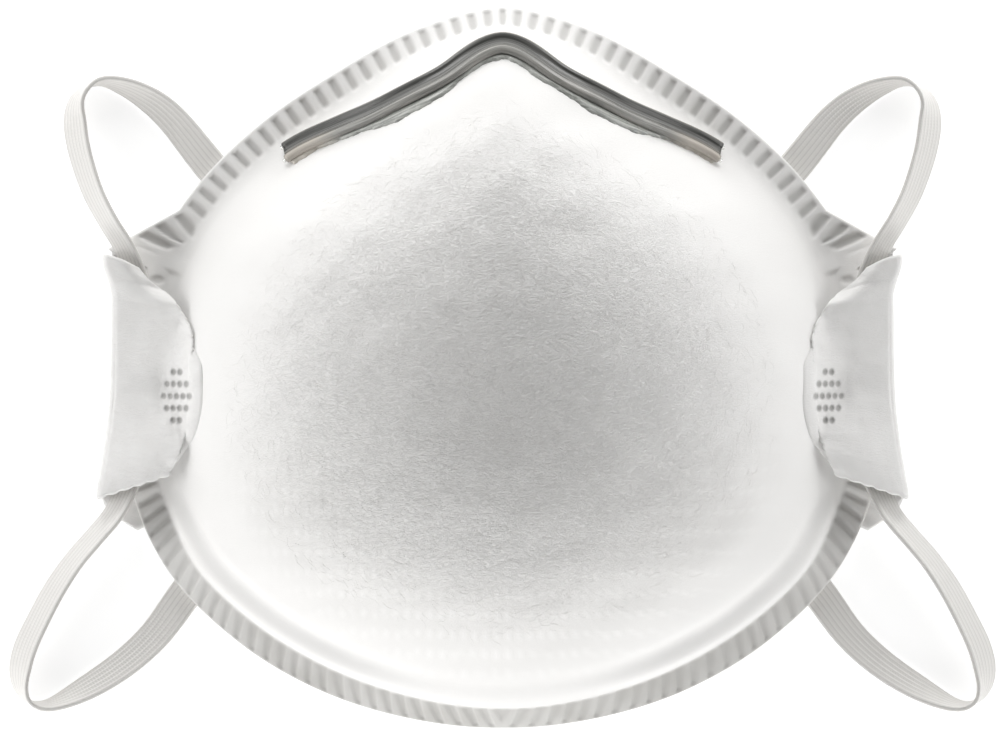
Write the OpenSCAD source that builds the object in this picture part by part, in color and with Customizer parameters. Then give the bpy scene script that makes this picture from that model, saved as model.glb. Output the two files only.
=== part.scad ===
// Disposable moulded dust mask, lying face up with its side tabs on the surface.
// +Z points out of the front of the cup, +Y towards the nose, +X across the face. Millimetres.

/* [Cup] */
// Height of the front of the cup above the surface it lies on
cup_h = 50; // [44:1:56]
// Fullness of the cup's profile, where 2 is a paraboloid and more is flatter in front
fullness = 2.15; // [2:0.05:2.4]
// How far the front of the cup sits towards the chin
front_drop = 4; // [0:1:6]

/* [Flange] */
// Width of the welded flange, along its slope
flange_w = 5.2; // [4.6:0.2:6]
// Thickness of the welded layers in the flange
flange_t = 1.4; // [1.2:0.1:1.6]
// How far the edge over the nose lies above the edge at the sides
nose_rise = 14; // [12:1:16]
// How far the edge under the chin lies above the edge at the sides
chin_rise = 10; // [9:1:12]

/* [Layers] */
// Thickness of the needle-felt outer cover
cover_t = 0.7; // [0.6:0.1:0.8]
// Thickness of the filter media
filter_t = 0.8; // [0.6:0.1:1]
// Thickness of the moulded support shell
shell_t = 0.8; // [0.6:0.1:1]
// Thickness of the soft inner lining
lining_t = 0.5; // [0.4:0.1:0.6]

/* [Tabs] */
// Thickness of the folded side tabs
tab_t = 0.9; // [0.8:0.1:1]
// Height of the strap tunnel under the fold at the middle of a tab
tunnel_h = 1.7; // [1.6:0.1:2]
// Extra height of the tunnel at its open ends
funnel_h = 2.6; // [2.4:0.2:3]

/* [Nose clip] */
// Radius of the bead round each wire
bead_r = 0.75; // [0.7:0.05:0.85]
// Radius of the steel wires
wire_r = 0.35; // [0.3:0.05:0.45]
// Length of wire that shows at each end of the strip
wire_end = 0.8; // [0.4:0.2:1.2]

/* [Nose foam] */
// Thickness of the foam
foam_t = 4; // [3:0.5:5]
// Thickness of the adhesive film behind the foam
tape_t = 0.2; // [0.1:0.05:0.3]

/* [Strap] */
// Width of the flat elastic strap
strap_w = 6; // [5.6:0.2:6]
// Thickness of the strap
strap_t = 0.8; // [0.6:0.1:0.8]

/* [Hidden] */

// Radius of the flange's edge every 15 degrees, from the chin (-90) to the nose (90)
rim_radii = [62.6, 63.1, 64.6, 66.6, 68.6, 68.2, 66.2, 64.8, 62.3, 60, 59, 60.6, 62.6];
rim_step = 15;
// Radius of the cup's round front, before it takes the shape of the rim
front_r = 60;
// The edge lies flat on the surface between these two distances from the middle
flat_nose = 21;
flat_chin = 24;
rise_power = 1.3;

// Radius of a tab's fold, and of the free edge of its flap, every 3 degrees from the chin side
tab_start = -18;
tab_step = 3;
fold_radii = [74.7, 73, 71.4, 70.2, 69.3, 68.8, 68.6, 68.6, 68.9, 69.3, 70, 71.3];
flap_radii = [61.5, 58.6, 56.8, 55.4, 54.6, 54.4, 54.3, 54.4, 54.7, 56.4, 59.6, 66.5];
flap_end = 14.4;
// How far the welded flap sinks into the felt
weld_depth = 0.1;

// The clip's arms run this far either side of the nose. Its place on the cup's wall at even steps along it
clip_spread = 45;
clip_places = [0.956, 0.926, 0.897, 0.894, 0.942, 0.894, 0.897, 0.926, 0.956];
clip_stations = 22;
// The wires lie this far either side of the strip's middle
wire_offset = 1.7;
glue_t = 0.3;
glue_sink = 0.22;
glue_lip = 0.9;

// The foam covers these segments and rings of the cup's inside
foam_segments = [6, 18];
foam_rings = [5, 9];
foam_edge = 0.3;

// Route of the strap's left half, from behind the nose, through the left tab, to behind the chin:
// X, Y, roll in degrees (0 face up, 90 on its edge, 180 face down) and height of what it lies on
strap_route = [
  [0, 14, 180, 0], [-16, 14.8, 180, 0], [-30, 19, 180, 0], [-42, 26.2, 180, 0],
  [-50.5, 34.6, 172, 0], [-58, 43.7, 152, 0], [-63.4, 47.9, 130, 0], [-68.9, 50, 105, 0],
  [-72.1, 49.4, 85, 0], [-74.3, 47, 65, 0], [-74.8, 43.2, 48, 0], [-74, 37.9, 48, 0],
  [-71.8, 31.2, 52, 0.5], [-69, 25.8, 56, 1.6], [-66.2, 21.2, 54, 1.75], [-64.6, 16.8, 40, 1.75],
  [-64, 12, 20, 1.75], [-63.9, 6, 6, 1.75], [-63.9, -2, 0, 1.75], [-64, -9, 6, 1.75],
  [-64.4, -15, 22, 1.75], [-65.5, -20, 42, 1.75], [-67.8, -25.2, 54, 1.75], [-71.4, -29.6, 56, 1],
  [-75, -33.8, 54, 0.2], [-78.4, -38.8, 50, 0], [-81.4, -44.4, 48, 0], [-83.5, -49, 46, 0],
  [-84.4, -53, 50, 0], [-84, -56.4, 68, 0], [-82.3, -58.6, 88, 0], [-78.8, -58.8, 108, 0],
  [-72.7, -55.9, 134, 0], [-66.3, -51.7, 148, 0], [-60.8, -46.6, 158, 0], [-55.6, -39.6, 172, 0],
  [-50, -32.8, 180, 0], [-38, -24.2, 180, 0], [-20, -17.8, 180, 0], [0, -16.2, 180, 0]
];
strap_gap = 0.05;

segments = 48;
// Rings from the front of the cup (0) to its foot (1) and across the flange (2)
rings = [0, 0.12, 0.25, 0.38, 0.5, 0.6, 0.7, 0.79, 0.87, 0.94, 1, 1.5, 2];
last_ring = len(rings) - 1;
cup_t = cover_t + filter_t + shell_t + lining_t;
delta = 0.01;

// ---- general functions ----
function mix(a, b, t) = a + (b - a) * t;
function clamp01(t) = min(1, max(0, t));
function smooth(t) = clamp01(t) * clamp01(t) * (3 - 2 * clamp01(t));
function unit(v) = v / norm(v);

// Smooth curve through the values of a list, at the fractional index t
function curve_at(values, t) =
  let (last = len(values) - 1, i = min(last - 1, max(0, floor(t))), f = t - i,
       p0 = values[max(0, i - 1)], p1 = values[i], p2 = values[i + 1], p3 = values[min(last, i + 2)])
  0.5 * (2 * p1 + (p2 - p0) * f + (2 * p0 - 5 * p1 + 4 * p2 - p3) * f * f
    + (3 * p1 - p0 - 3 * p2 + p3) * f * f * f);

// ---- the cup's outer surface ----
// Angle above or below the X axis, whichever side the point is on
function lift(a) = asin(sin(a));
function rim_r(a) = curve_at(rim_radii, (lift(a) + 90) / rim_step);
function edge_rise(y) = y > 0
  ? nose_rise * pow(max(0, y - flat_nose) / (rim_radii[12] - flat_nose), rise_power)
  : chin_rise * pow(max(0, -y - flat_chin) / (rim_radii[0] - flat_chin), rise_power);
// Slope of the flange: level at the sides, steep over the nose and under the chin
function flange_slope(a) = lift(a) > 0
  ? 42 * smooth((lift(a) - 50) / 40)
  : 26 * smooth((-lift(a) - 20) / 15) + 18 * smooth((-lift(a) - 50) / 40);
function foot_r(a) = rim_r(a) - flange_w * cos(flange_slope(a));
function rim_z(a) = flange_t + edge_rise(rim_r(a) * sin(a));
function foot_z(a) = rim_z(a) + flange_w * sin(flange_slope(a));
// How softly the cup's wall runs out into the flange
function foot_flare(a) = 0.1 + 0.4 * smooth(1 - abs(lift(a) - 45) / 35);

function cup_point(a, u) =
  let (r = mix(front_r, foot_r(a), smooth(u)) * u,
       rise = (1 - pow(u, fullness)) * (1 - foot_flare(a) * exp(-(1 - u) / 0.09)),
       z = cup_h * rise + foot_z(a) * pow(u, 2))
  [r * cos(a), r * sin(a) - front_drop * (1 - u), z];
function flange_point(a, u) =
  let (f = u - 1, r = mix(foot_r(a), rim_r(a), f))
  [r * cos(a), r * sin(a), mix(foot_z(a), rim_z(a), f)];
function outer_point(a, u) = u < 1 ? cup_point(a, u) : flange_point(a, u);

function outer_normal(a, u) =
  let (v = min(2 - delta, max(delta, u)),
       along = outer_point(a + 1, v) - outer_point(a - 1, v),
       across = outer_point(a, v + delta) - outer_point(a, v - delta))
  unit(cross(across, along));
// The welding squeezes the layers together in the flange
function squeeze(u) = mix(1, flange_t / cup_t, smooth((u - 0.86) / 0.14));
function skin_point(a, u, depth) = u == 0
  ? [0, -front_drop, cup_h - depth]
  : outer_point(a, u) - depth * squeeze(u) * outer_normal(a, u);

// ---- solids made of rings of points ----
// One layer of the cup between two depths below the outer surface
module cup_layer(top, bottom) {
  side = [for (depth = [top, bottom])
    concat([skin_point(0, 0, depth)],
      [for (i = [1 : last_ring], j = [0 : segments - 1])
        skin_point(360 * j / segments, rings[i], depth)])];
  count = len(side[0]);
  function at(i, j) = 1 + (i - 1) * segments + (j % segments);
  fan = [for (j = [0 : segments - 1]) [0, at(1, j), at(1, j + 1)]];
  quads = [for (i = [1 : last_ring - 1], j = [0 : segments - 1], half = [0, 1])
    half == 0 ? [at(i, j), at(i + 1, j), at(i + 1, j + 1)]
              : [at(i, j), at(i + 1, j + 1), at(i, j + 1)]];
  skin = concat(fan, quads);
  edge = [for (j = [0 : segments - 1], half = [0, 1])
    half == 0 ? [at(last_ring, j), at(last_ring, j) + count, at(last_ring, j + 1) + count]
              : [at(last_ring, j), at(last_ring, j + 1) + count, at(last_ring, j + 1)]];
  polyhedron(concat(side[0], side[1]),
    concat([for (f = skin) [f[0], f[2], f[1]]],
           [for (f = skin) [f[0] + count, f[1] + count, f[2] + count]],
           [for (f = edge) [f[0], f[2], f[1]]]));
}

// A closed solid through rings of equal length, each out along one side and back along the other.
// Looped rings join the last to the first.
module through_rings(loops, looped = false) {
  n = len(loops[0]);
  rows = len(loops);
  joins = looped ? rows - 1 : rows - 2;
  walls = [for (i = [0 : joins], j = [0 : n - 1], half = [0, 1])
    let (a = i * n + j, b = i * n + (j + 1) % n, c = ((i + 1) % rows) * n + j,
         d = ((i + 1) % rows) * n + (j + 1) % n)
    half == 0 ? [a, d, b] : [a, c, d]];
  rungs = looped ? [] : [for (j = [0 : n / 2 - 2]) [j, j + 1, n - 2 - j, n - 1 - j]];
  caps = concat(rungs, [for (r = rungs) [for (k = [3 : -1 : 0]) (rows - 1) * n + r[k]]]);
  polyhedron([for (ring = loops) each ring], concat(walls, caps));
}

// ---- cup ----
module outer_cover() {
  color("whitesmoke") cup_layer(0, cover_t);
}
module filter_media() {
  color("ivory") cup_layer(cover_t, cover_t + filter_t);
}
module support_shell() {
  color("gainsboro") cup_layer(cover_t + filter_t, cover_t + filter_t + shell_t);
}
module inner_lining() {
  color("white") cup_layer(cover_t + filter_t + shell_t, cup_t);
}

// ---- side tabs, drawn for the right side ----
function fold_r(a) = curve_at(fold_radii, (a - tab_start) / tab_step);
function flap_r(a) = curve_at(flap_radii, (a - tab_start) / tab_step);
// 0 at the middle of the tab, 1 at its open ends
function openness(a) = pow((a + 1.5) / 16, 2);
function polar(r, a) = [r * cos(a), r * sin(a)];
function in_plane(a, rz) = [rz[0] * cos(a), rz[0] * sin(a), rz[1]];
// Radius and height of a point just above the cup's wall, where the flap is welded to it
function wall_at(a, u, up) =
  let (p = skin_point(a, u, -up)) [norm([p.x, p.y]), p.z];

// Middle line of the folded sheet at the angle a: radius, height and thickness
function flap_line(a) =
  let (f = fold_r(a), e = flap_r(a), h = flange_t + tunnel_h + funnel_h * openness(a) + tab_t / 2,
       inner = h + 1.2 + 2.6 * openness(a), shoulder = foot_r(a) + 0.8,
       up = tab_t / 2 - weld_depth, u_edge = e / foot_r(a),
       near = wall_at(a, min(0.985, mix(1, u_edge, 0.2)), up),
       middle = wall_at(a, min(0.98, mix(1, u_edge, 0.6)), up),
       end = wall_at(a, min(0.975, u_edge), up))
  concat(
    [[f - 2.4, tab_t / 2, 0.6], [f - 1.2, tab_t / 2, 0.7],
     [f - tab_t / 2, (h + tab_t / 2) / 2, tab_t], [f - 1.2, h, tab_t]],
    e < shoulder - 1
      ? [[mix(f - 1.2, shoulder, 0.5), mix(h, inner, 0.45), tab_t], [shoulder, inner, tab_t],
         [near[0], max(near[1], inner), tab_t], [middle[0], max(middle[1], inner + 0.6), tab_t],
         [end[0], max(end[1], inner + 1.2), tab_t]]
      : [for (t = [0.2 : 0.2 : 1]) [mix(f - 1.2, e, t), mix(h, inner, t), tab_t]]);

// The sheet's outline in the plane at the angle a: out along one face and back along the other
function flap_ring(a) =
  let (line = flap_line(a), last = len(line) - 1,
       sides = [for (i = [0 : last])
         let (d = unit([line[min(last, i + 1)][0] - line[max(0, i - 1)][0],
                        line[min(last, i + 1)][1] - line[max(0, i - 1)][1]]),
              half = line[i][2] / 2, mid = [line[i][0], line[i][1]])
         [mid + half * [d.y, -d.x], mid - half * [d.y, -d.x]]])
  concat([for (s = sides) in_plane(a, s[0])], [for (i = [last : -1 : 0]) in_plane(a, sides[i][1])]);

module side_tab() {
  // Flat wing that the fold grows out of
  linear_extrude(tab_t)
    polygon(concat(
      [for (a = [22.5 : -7.5 : -22.5]) polar(rim_r(a), a)],
      [[66.5, -27], [69.4, -25]],
      [for (a = [-18 : 3 : 15]) polar(fold_r(a) - 0.8, a)],
      [[68.6, 20.6], [65.1, 22.6], [61.3, 24.6]]));
  // Fold and flap
  through_rings([for (i = [0 : 12]) flap_ring(mix(flap_end, tab_start + 0.4, i / 12))]);
}
module right_tab() {
  color("white") side_tab();
}
module left_tab() {
  color("white") mirror([1, 0, 0]) side_tab();
}

// ---- nose clip ----
// Frame at station t (0 to 1) along the clip: point on the cup, along, across and outward
function clip_angle(t) = 90 + clip_spread * (1 - 2 * t);
function clip_place(t) = curve_at(clip_places, t * (len(clip_places) - 1));
function clip_point(t) = skin_point(clip_angle(t), clip_place(t), 0);
function clip_frame(t) =
  let (along = unit(clip_point(t + delta) - clip_point(t - delta)),
       face = outer_normal(clip_angle(t), clip_place(t)), out = unit(face - (face * along) * along))
  [clip_point(t), along, cross(out, along), out];
// A ring of [across, outward] points at station t, moved by extra millimetres along the clip
function clip_ring(shape, t, extra = 0) =
  let (f = clip_frame(t))
  [for (s = shape) f[0] + extra * f[1] + s[0] * f[2] + s[1] * f[3]];
// The shape's rings from one end of the clip to the other, past both ends by extra millimetres
function clip_rings(shape, extra = 0) = concat(
  extra > 0 ? [clip_ring(shape, 0, -extra)] : [],
  [for (i = [0 : clip_stations]) clip_ring(shape, i / clip_stations)],
  extra > 0 ? [clip_ring(shape, 1, extra)] : []);
bead_mid = glue_t + bead_r * cos(22.5);
// An octagon round the wire on one side of the strip, with its sides square to the web
function round_wire(side, r) =
  [for (k = [0 : 7]) [side * wire_offset + r * cos(22.5 + 45 * k), bead_mid + r * sin(22.5 + 45 * k)]];
// Two beads joined by a web, each with a channel for its wire
strip_shape = concat(round_wire(-1, bead_r), round_wire(1, bead_r),
                     round_wire(-1, wire_r), round_wire(1, wire_r));
clip_edge = wire_offset + bead_r;
// Where the glue's edges lie across the strip, at its flat top and down in the felt
glue_top = [-clip_edge - 0.3, -clip_edge / 3, clip_edge / 3, clip_edge];
glue_foot = [-clip_edge - glue_lip, -clip_edge / 3, clip_edge / 3, clip_edge + 0.3];
// The foot's points are found on the felt, by how far they are round the cup and down its wall
function glue_ring(t) =
  let (a = clip_angle(t), u = clip_place(t), f = clip_frame(t),
       aside = skin_point(a + 1, u, 0) - f[0], down = (skin_point(a, u + delta, 0) - f[0]) / delta)
  concat([for (s = glue_foot)
      let (way = s * f[2], v = u + (way * down) / (down * down))
      skin_point(a + (way * aside) / (aside * aside), v, glue_sink / squeeze(v))],
    clip_ring([for (i = [3 : -1 : 0]) [glue_top[i], glue_t]], t));

module nose_clip_strip() {
  ringed = clip_rings(strip_shape);
  n = len(strip_shape);
  rows = len(ringed);
  // Lower bead, web, upper bead and web again, then the two channels
  outside = concat([for (k = [0 : 7]) k], [for (k = [4 : 11]) 8 + k % 8]);
  channels = [for (side = [0, 1]) [for (k = [7 : -1 : 0]) 16 + 8 * side + k]];
  walls = [for (loop = concat([outside], channels), i = [0 : rows - 2], j = [0 : len(loop) - 1])
    let (a = loop[j], b = loop[(j + 1) % len(loop)])
    [i * n + b, i * n + a, (i + 1) * n + a, (i + 1) * n + b]];
  // Each end is a flat ring round each channel, and the web between the beads
  end = concat([[7, 12, 11, 0]],
    [for (side = [0, 1], k = [0 : 7]) let (o = 8 * side, m = (k + 1) % 8)
      [o + k, o + m, o + m + 16, o + k + 16]]);
  color("gray") polyhedron([for (ring = ringed) each ring], concat(walls, end,
    [for (f = end) [for (k = [3 : -1 : 0]) (rows - 1) * n + f[k]]]));
}
module nose_wire_upper() {
  color("silver") through_rings(clip_rings(round_wire(1, wire_r), wire_end));
}
module nose_wire_lower() {
  color("silver") through_rings(clip_rings(round_wire(-1, wire_r), wire_end));
}
module nose_clip_adhesive() {
  color("tan") through_rings([for (i = [0 : clip_stations]) glue_ring(i / clip_stations)]);
}

// ---- nose foam, on the cup's inside ----
// A closed patch between two depths under the lining, thinner along its edges by the factor edge
module inner_patch(top, bottom, edge) {
  js = [for (j = [foam_segments[0] : foam_segments[1]]) j];
  is = [for (i = [foam_rings[0] : foam_rings[1]]) i];
  wide = len(js);
  high = len(is);
  function on_edge(m, n) = m == 0 || n == 0 || m == high - 1 || n == wide - 1;
  function under_lining(i, j, depth) =
    skin_point(360 * j / segments, rings[i], cup_t + depth / squeeze(rings[i]));
  upper = [for (i = is, j = js) under_lining(i, j, top)];
  lower = [for (m = [0 : high - 1], n = [0 : wide - 1])
    under_lining(is[m], js[n], mix(top, bottom, on_edge(m, n) ? edge : 1))];
  // Corners of the patch's border, in order
  border = concat(
    [for (n = [0 : wide - 2]) n],
    [for (m = [0 : high - 2]) m * wide + wide - 1],
    [for (n = [wide - 1 : -1 : 1]) (high - 1) * wide + n],
    [for (m = [high - 1 : -1 : 1]) m * wide]);
  quads = [for (m = [0 : high - 2], n = [0 : wide - 2], half = [0, 1])
    let (a = m * wide + n)
    half == 0 ? [a, a + wide, a + wide + 1] : [a, a + wide + 1, a + 1]];
  count = len(upper);
  walls = [for (k = [0 : len(border) - 1], half = [0, 1])
    let (a = border[k], b = border[(k + 1) % len(border)])
    half == 0 ? [a, b, b + count] : [a, b + count, a + count]];
  polyhedron(concat(upper, lower), concat(
    [for (f = quads) [f[0], f[2], f[1]]],
    [for (f = quads) [f[0] + count, f[1] + count, f[2] + count]],
    [for (f = walls) [f[0], f[2], f[1]]]));
}
module nose_foam_tape() {
  color("khaki") inner_patch(0, tape_t, 1);
}
module nose_foam() {
  color("dimgray") inner_patch(tape_t, tape_t + foam_t, foam_edge);
}

// ---- strap ----
function half_point(p) =
  [p[0], p[1], p[3] + strap_gap + strap_w / 2 * sin(p[2]) + strap_t / 2 * abs(cos(p[2])), p[2]];
left_half = [for (p = strap_route) half_point(p)];
// The right half mirrors the left one and runs back from the chin to the nose
strap_loop = concat(left_half,
  [for (i = [len(left_half) - 2 : -1 : 1]) let (p = left_half[i]) [-p[0], p[1], p[2], p[3]]]);
strap_shape = let (w = strap_w / 2, t = strap_t / 2)
  [[w, t / 2], [w - t, t], [t - w, t], [-w, t / 2], [-w, -t / 2], [t - w, -t], [w - t, -t], [w, -t / 2]];
function strap_ring(i) =
  let (n = len(strap_loop), p = strap_loop[i], before = strap_loop[(i + n - 1) % n],
       after = strap_loop[(i + 1) % n],
       along = unit([after[0] - before[0], after[1] - before[1], after[2] - before[2]]),
       level = unit(cross([0, 0, 1], along)), up = cross(along, level),
       wide = cos(p[3]) * level + sin(p[3]) * up, face = cross(along, wide))
  [for (s = strap_shape) [p[0], p[1], p[2]] + s[0] * wide + s[1] * face];
module elastic_strap() {
  color("snow") through_rings([for (i = [0 : len(strap_loop) - 1]) strap_ring(i)], true);
}

outer_cover();
filter_media();
support_shell();
inner_lining();
left_tab();
right_tab();
nose_clip_strip();
nose_wire_upper();
nose_wire_lower();
nose_clip_adhesive();
nose_foam_tape();
nose_foam();
elastic_strap();
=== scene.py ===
"""Looks of the disposable dust mask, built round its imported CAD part. Metres, in the part's own frame:
the mask lies face up, +Z out of the front of the cup, +Y towards the nose, +X across the face."""

import math

import bpy
import numpy as np
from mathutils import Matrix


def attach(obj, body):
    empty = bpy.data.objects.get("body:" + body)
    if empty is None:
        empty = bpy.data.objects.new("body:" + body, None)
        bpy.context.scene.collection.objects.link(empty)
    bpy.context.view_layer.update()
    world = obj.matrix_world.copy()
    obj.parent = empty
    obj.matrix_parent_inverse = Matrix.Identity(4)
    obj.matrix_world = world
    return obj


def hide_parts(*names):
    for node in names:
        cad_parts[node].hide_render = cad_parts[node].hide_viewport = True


MM = 0.001
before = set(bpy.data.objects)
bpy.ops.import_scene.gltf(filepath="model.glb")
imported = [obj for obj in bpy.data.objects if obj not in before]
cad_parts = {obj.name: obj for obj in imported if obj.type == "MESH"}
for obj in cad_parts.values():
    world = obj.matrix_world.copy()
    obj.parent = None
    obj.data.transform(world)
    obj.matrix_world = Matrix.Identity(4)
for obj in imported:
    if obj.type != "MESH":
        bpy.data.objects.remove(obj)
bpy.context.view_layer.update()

# ---- sizes, as in the CAD part ----
CUP_H = 50 * MM
FULLNESS = 2.15
FRONT_DROP = 4 * MM
FLANGE_W = 5.2 * MM
FLANGE_T = 1.4 * MM
NOSE_RISE = 14 * MM
CHIN_RISE = 10 * MM
COVER_T = 0.7 * MM
FILTER_T = 0.8 * MM
SHELL_T = 0.8 * MM
LINING_T = 0.5 * MM
CUP_T = COVER_T + FILTER_T + SHELL_T + LINING_T
# Radius of the flange's edge every 15 degrees, from the chin (-90) to the nose (90)
RIM_RADII = MM * np.array([62.6, 63.1, 64.6, 66.6, 68.6, 68.2, 66.2, 64.8, 62.3, 60, 59, 60.6, 62.6])
RIM_STEP = 15
FRONT_R = 60 * MM
FLAT_NOSE = 21 * MM
FLAT_CHIN = 24 * MM
RISE_POWER = 1.3
# Radius of a tab's fold, and of its flap's free edge, every 3 degrees from the chin side
TAB_START = -18
TAB_STEP = 3
TAB_T = 0.9 * MM
FOLD_RADII = MM * np.array([74.7, 73, 71.4, 70.2, 69.3, 68.8, 68.6, 68.6, 68.9, 69.3, 70, 71.3])
FLAP_RADII = MM * np.array([61.5, 58.6, 56.8, 55.4, 54.6, 54.4, 54.3, 54.4, 54.7, 56.4, 59.6, 66.5])
TUNNEL_H = 1.7 * MM
FUNNEL_H = 2.6 * MM
# Upper corner of the wing under a tab's fold, and where its straight upper edge meets the flange
CORNER_LOW = np.array([69.3, 20.8]) * MM
CORNER_HIGH = np.array([59.2, 26.2]) * MM
CLIP_SPREAD = 45
# Place on the cup's wall at even steps along the clip
CLIP_PLACES = [0.956, 0.926, 0.897, 0.894, 0.942, 0.894, 0.897, 0.926, 0.956]
WIRE_OFFSET = 1.7 * MM
BEAD_R = 0.75 * MM
WIRE_R = 0.35 * MM
WIRE_END = 0.8 * MM
GLUE_T = 0.3 * MM
STRAP_W = 6 * MM
STRAP_T = 0.8 * MM
STRAP_GAP = 0.05 * MM

# Left half of the strap's route, from behind the nose, through the left tab, to behind the chin:
# X, Y, roll in degrees (0 face up, 90 on its edge, 180 face down) and height of what it lies on
STRAP_ROUTE = [
    (0, 0.014, 180, 0), (-0.016, 0.0148, 180, 0), (-0.030, 0.019, 180, 0), (-0.042, 0.0262, 180, 0),
    (-0.0505, 0.0346, 172, 0), (-0.058, 0.0437, 152, 0), (-0.0634, 0.0479, 130, 0),
    (-0.0689, 0.050, 105, 0), (-0.0721, 0.0494, 85, 0), (-0.0743, 0.047, 65, 0),
    (-0.0748, 0.0432, 48, 0), (-0.074, 0.0379, 48, 0), (-0.0718, 0.0312, 52, 0.0005),
    (-0.069, 0.0258, 56, 0.0016), (-0.0662, 0.0212, 54, 0.00175), (-0.0646, 0.0168, 40, 0.00175),
    (-0.064, 0.012, 20, 0.00175), (-0.0641, 0.006, 6, 0.00175), (-0.0643, -0.002, 0, 0.00175),
    (-0.0643, -0.009, 6, 0.00175), (-0.0644, -0.015, 22, 0.00175), (-0.0655, -0.020, 42, 0.00175),
    (-0.0678, -0.0252, 54, 0.00175), (-0.0714, -0.0296, 56, 0.001), (-0.075, -0.0338, 54, 0.0002),
    (-0.0784, -0.0388, 50, 0), (-0.0814, -0.0444, 48, 0), (-0.0835, -0.049, 46, 0),
    (-0.0844, -0.053, 50, 0), (-0.084, -0.0564, 68, 0), (-0.0823, -0.0586, 88, 0),
    (-0.0788, -0.0588, 108, 0), (-0.0727, -0.0559, 134, 0), (-0.0663, -0.0517, 148, 0),
    (-0.0608, -0.0466, 158, 0), (-0.0556, -0.0396, 172, 0), (-0.050, -0.0328, 180, 0),
    (-0.038, -0.0242, 180, 0), (-0.020, -0.0178, 180, 0), (0, -0.0162, 180, 0),
]


# ---- general functions ----
def mix(a, b, t):
    return a + (b - a) * t


def smooth(t):
    t = np.clip(t, 0, 1)
    return t * t * (3 - 2 * t)


def bell(x, width):
    """1 at x = 0, falling softly to nearly nothing at two widths."""
    return np.exp(-((x / width) ** 2))


def unit(v):
    return v / np.maximum(np.linalg.norm(v, axis=-1, keepdims=True), 1e-12)


def curve_at(values, t):
    """A smooth curve through the values, at the fractional indices t."""
    values = np.asarray(values, float)
    last = len(values) - 1
    t = np.asarray(t, float)
    i = np.clip(np.floor(t).astype(int), 0, last - 1)
    f = t - i
    if values.ndim == 2:
        f = f[..., None]
    p0, p1 = values[np.maximum(i - 1, 0)], values[i]
    p2, p3 = values[i + 1], values[np.minimum(i + 2, last)]
    cubic = 3 * p1 - p0 - 3 * p2 + p3
    return 0.5 * (2 * p1 + (p2 - p0) * f + (2 * p0 - 5 * p1 + 4 * p2 - p3) * f * f + cubic * f**3)


def along_lengths(points):
    """Distance travelled along a row of points, at each of them."""
    steps = np.linalg.norm(np.diff(points, axis=0), axis=1)
    return np.concatenate([[0], np.cumsum(steps)])


def polar(r, a, z):
    """Points at the radius r, the angle a in degrees and the height z."""
    return np.stack(np.broadcast_arrays(r * np.cos(np.radians(a)), r * np.sin(np.radians(a)), z), -1)


def joined(*grids):
    """The points of all the grids, as one list."""
    return np.concatenate([grid.reshape(-1, 3) for grid in grids])


def unevenness(points, wavelength, seed):
    """A smooth random field from about -1 to 1 at the points, with detail of that size."""
    random = np.random.default_rng(seed)
    waves = 9
    total = np.zeros(points.shape[:-1])
    for _ in range(waves):
        direction = unit(random.normal(size=3)) * 2 * math.pi / wavelength
        total += np.sin(points @ (direction * random.uniform(0.6, 1.5)) + random.uniform(0, 2 * math.pi))
    return total / math.sqrt(waves)


def new_piece(name, points, faces, material, body="mask"):
    """A smooth-shaded mesh object that rides on a CAD body."""
    mesh = bpy.data.meshes.new(name)
    mesh.from_pydata(np.asarray(points).reshape(-1, 3).tolist(), [], faces)
    mesh.validate()
    mesh.shade_smooth()
    mesh.materials.append(material)
    obj = bpy.data.objects.new(name, mesh)
    bpy.context.scene.collection.objects.link(obj)
    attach(obj, body)
    return obj


def attribute(obj, name, values):
    """Stores one number for each vertex, for the material to read."""
    layer = obj.data.attributes.new(name, "FLOAT", "POINT")
    layer.data.foreach_set("value", np.asarray(values, np.float32).ravel())


def grid_faces(rows, columns, looped, start=0, flip=False):
    """Quads of a grid of points. A looped grid joins its last column to its first."""
    i, j = np.meshgrid(np.arange(rows - 1), np.arange(columns if looped else columns - 1), indexing="ij")
    k = (j + 1) % columns
    quads = np.stack([i * columns + j, (i + 1) * columns + j, (i + 1) * columns + k, i * columns + k], -1)
    quads = quads.reshape(-1, 4) + start
    return (quads[:, ::-1] if flip else quads).tolist()


def fan(tip, start, columns, flip=False):
    """Triangles from one point to a looped row of points."""
    row = [(start + j, start + (j + 1) % columns) for j in range(columns)]
    return [[tip, b, a] if flip else [tip, a, b] for a, b in row]


def sheet_faces(rows, columns, flip=False):
    """Faces of a closed sheet: a grid of points on one face, the same on the other, and the rim between."""
    count = rows * columns
    faces = grid_faces(rows, columns, False, 0, flip) + grid_faces(rows, columns, False, count, not flip)
    border = [(0, j) for j in range(columns)] + [(i, columns - 1) for i in range(1, rows)]
    border += [(rows - 1, j) for j in range(columns - 2, -1, -1)] + [(i, 0) for i in range(rows - 2, 0, -1)]
    ring = [i * columns + j for i, j in border]
    for a, b in zip(ring, ring[1:] + ring[:1]):
        if flip:
            a, b = b, a
        faces.append([a, b, b + count, a + count])
    return faces


def from_ends(points, axis):
    """Distance along the grid's rows or columns from each point to the nearer end."""
    steps = np.linalg.norm(np.diff(points, axis=axis), axis=-1)
    travelled = np.concatenate([np.zeros_like(np.take(steps, [0], axis)), np.cumsum(steps, axis)], axis)
    return np.minimum(travelled, np.take(travelled, [-1], axis) - travelled)


# ---- the cup's outer surface, as in the CAD part ----
def lift(a):
    """Angle above or below the X axis, whichever side the point is on."""
    return np.degrees(np.arcsin(np.sin(np.radians(a))))


def below(a, start, width):
    """0 down to start degrees below the X axis, and 1 from there on past the width."""
    return smooth((-lift(a) - start) / width)


def rim_r(a):
    return curve_at(RIM_RADII, (lift(a) + 90) / RIM_STEP)


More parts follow.
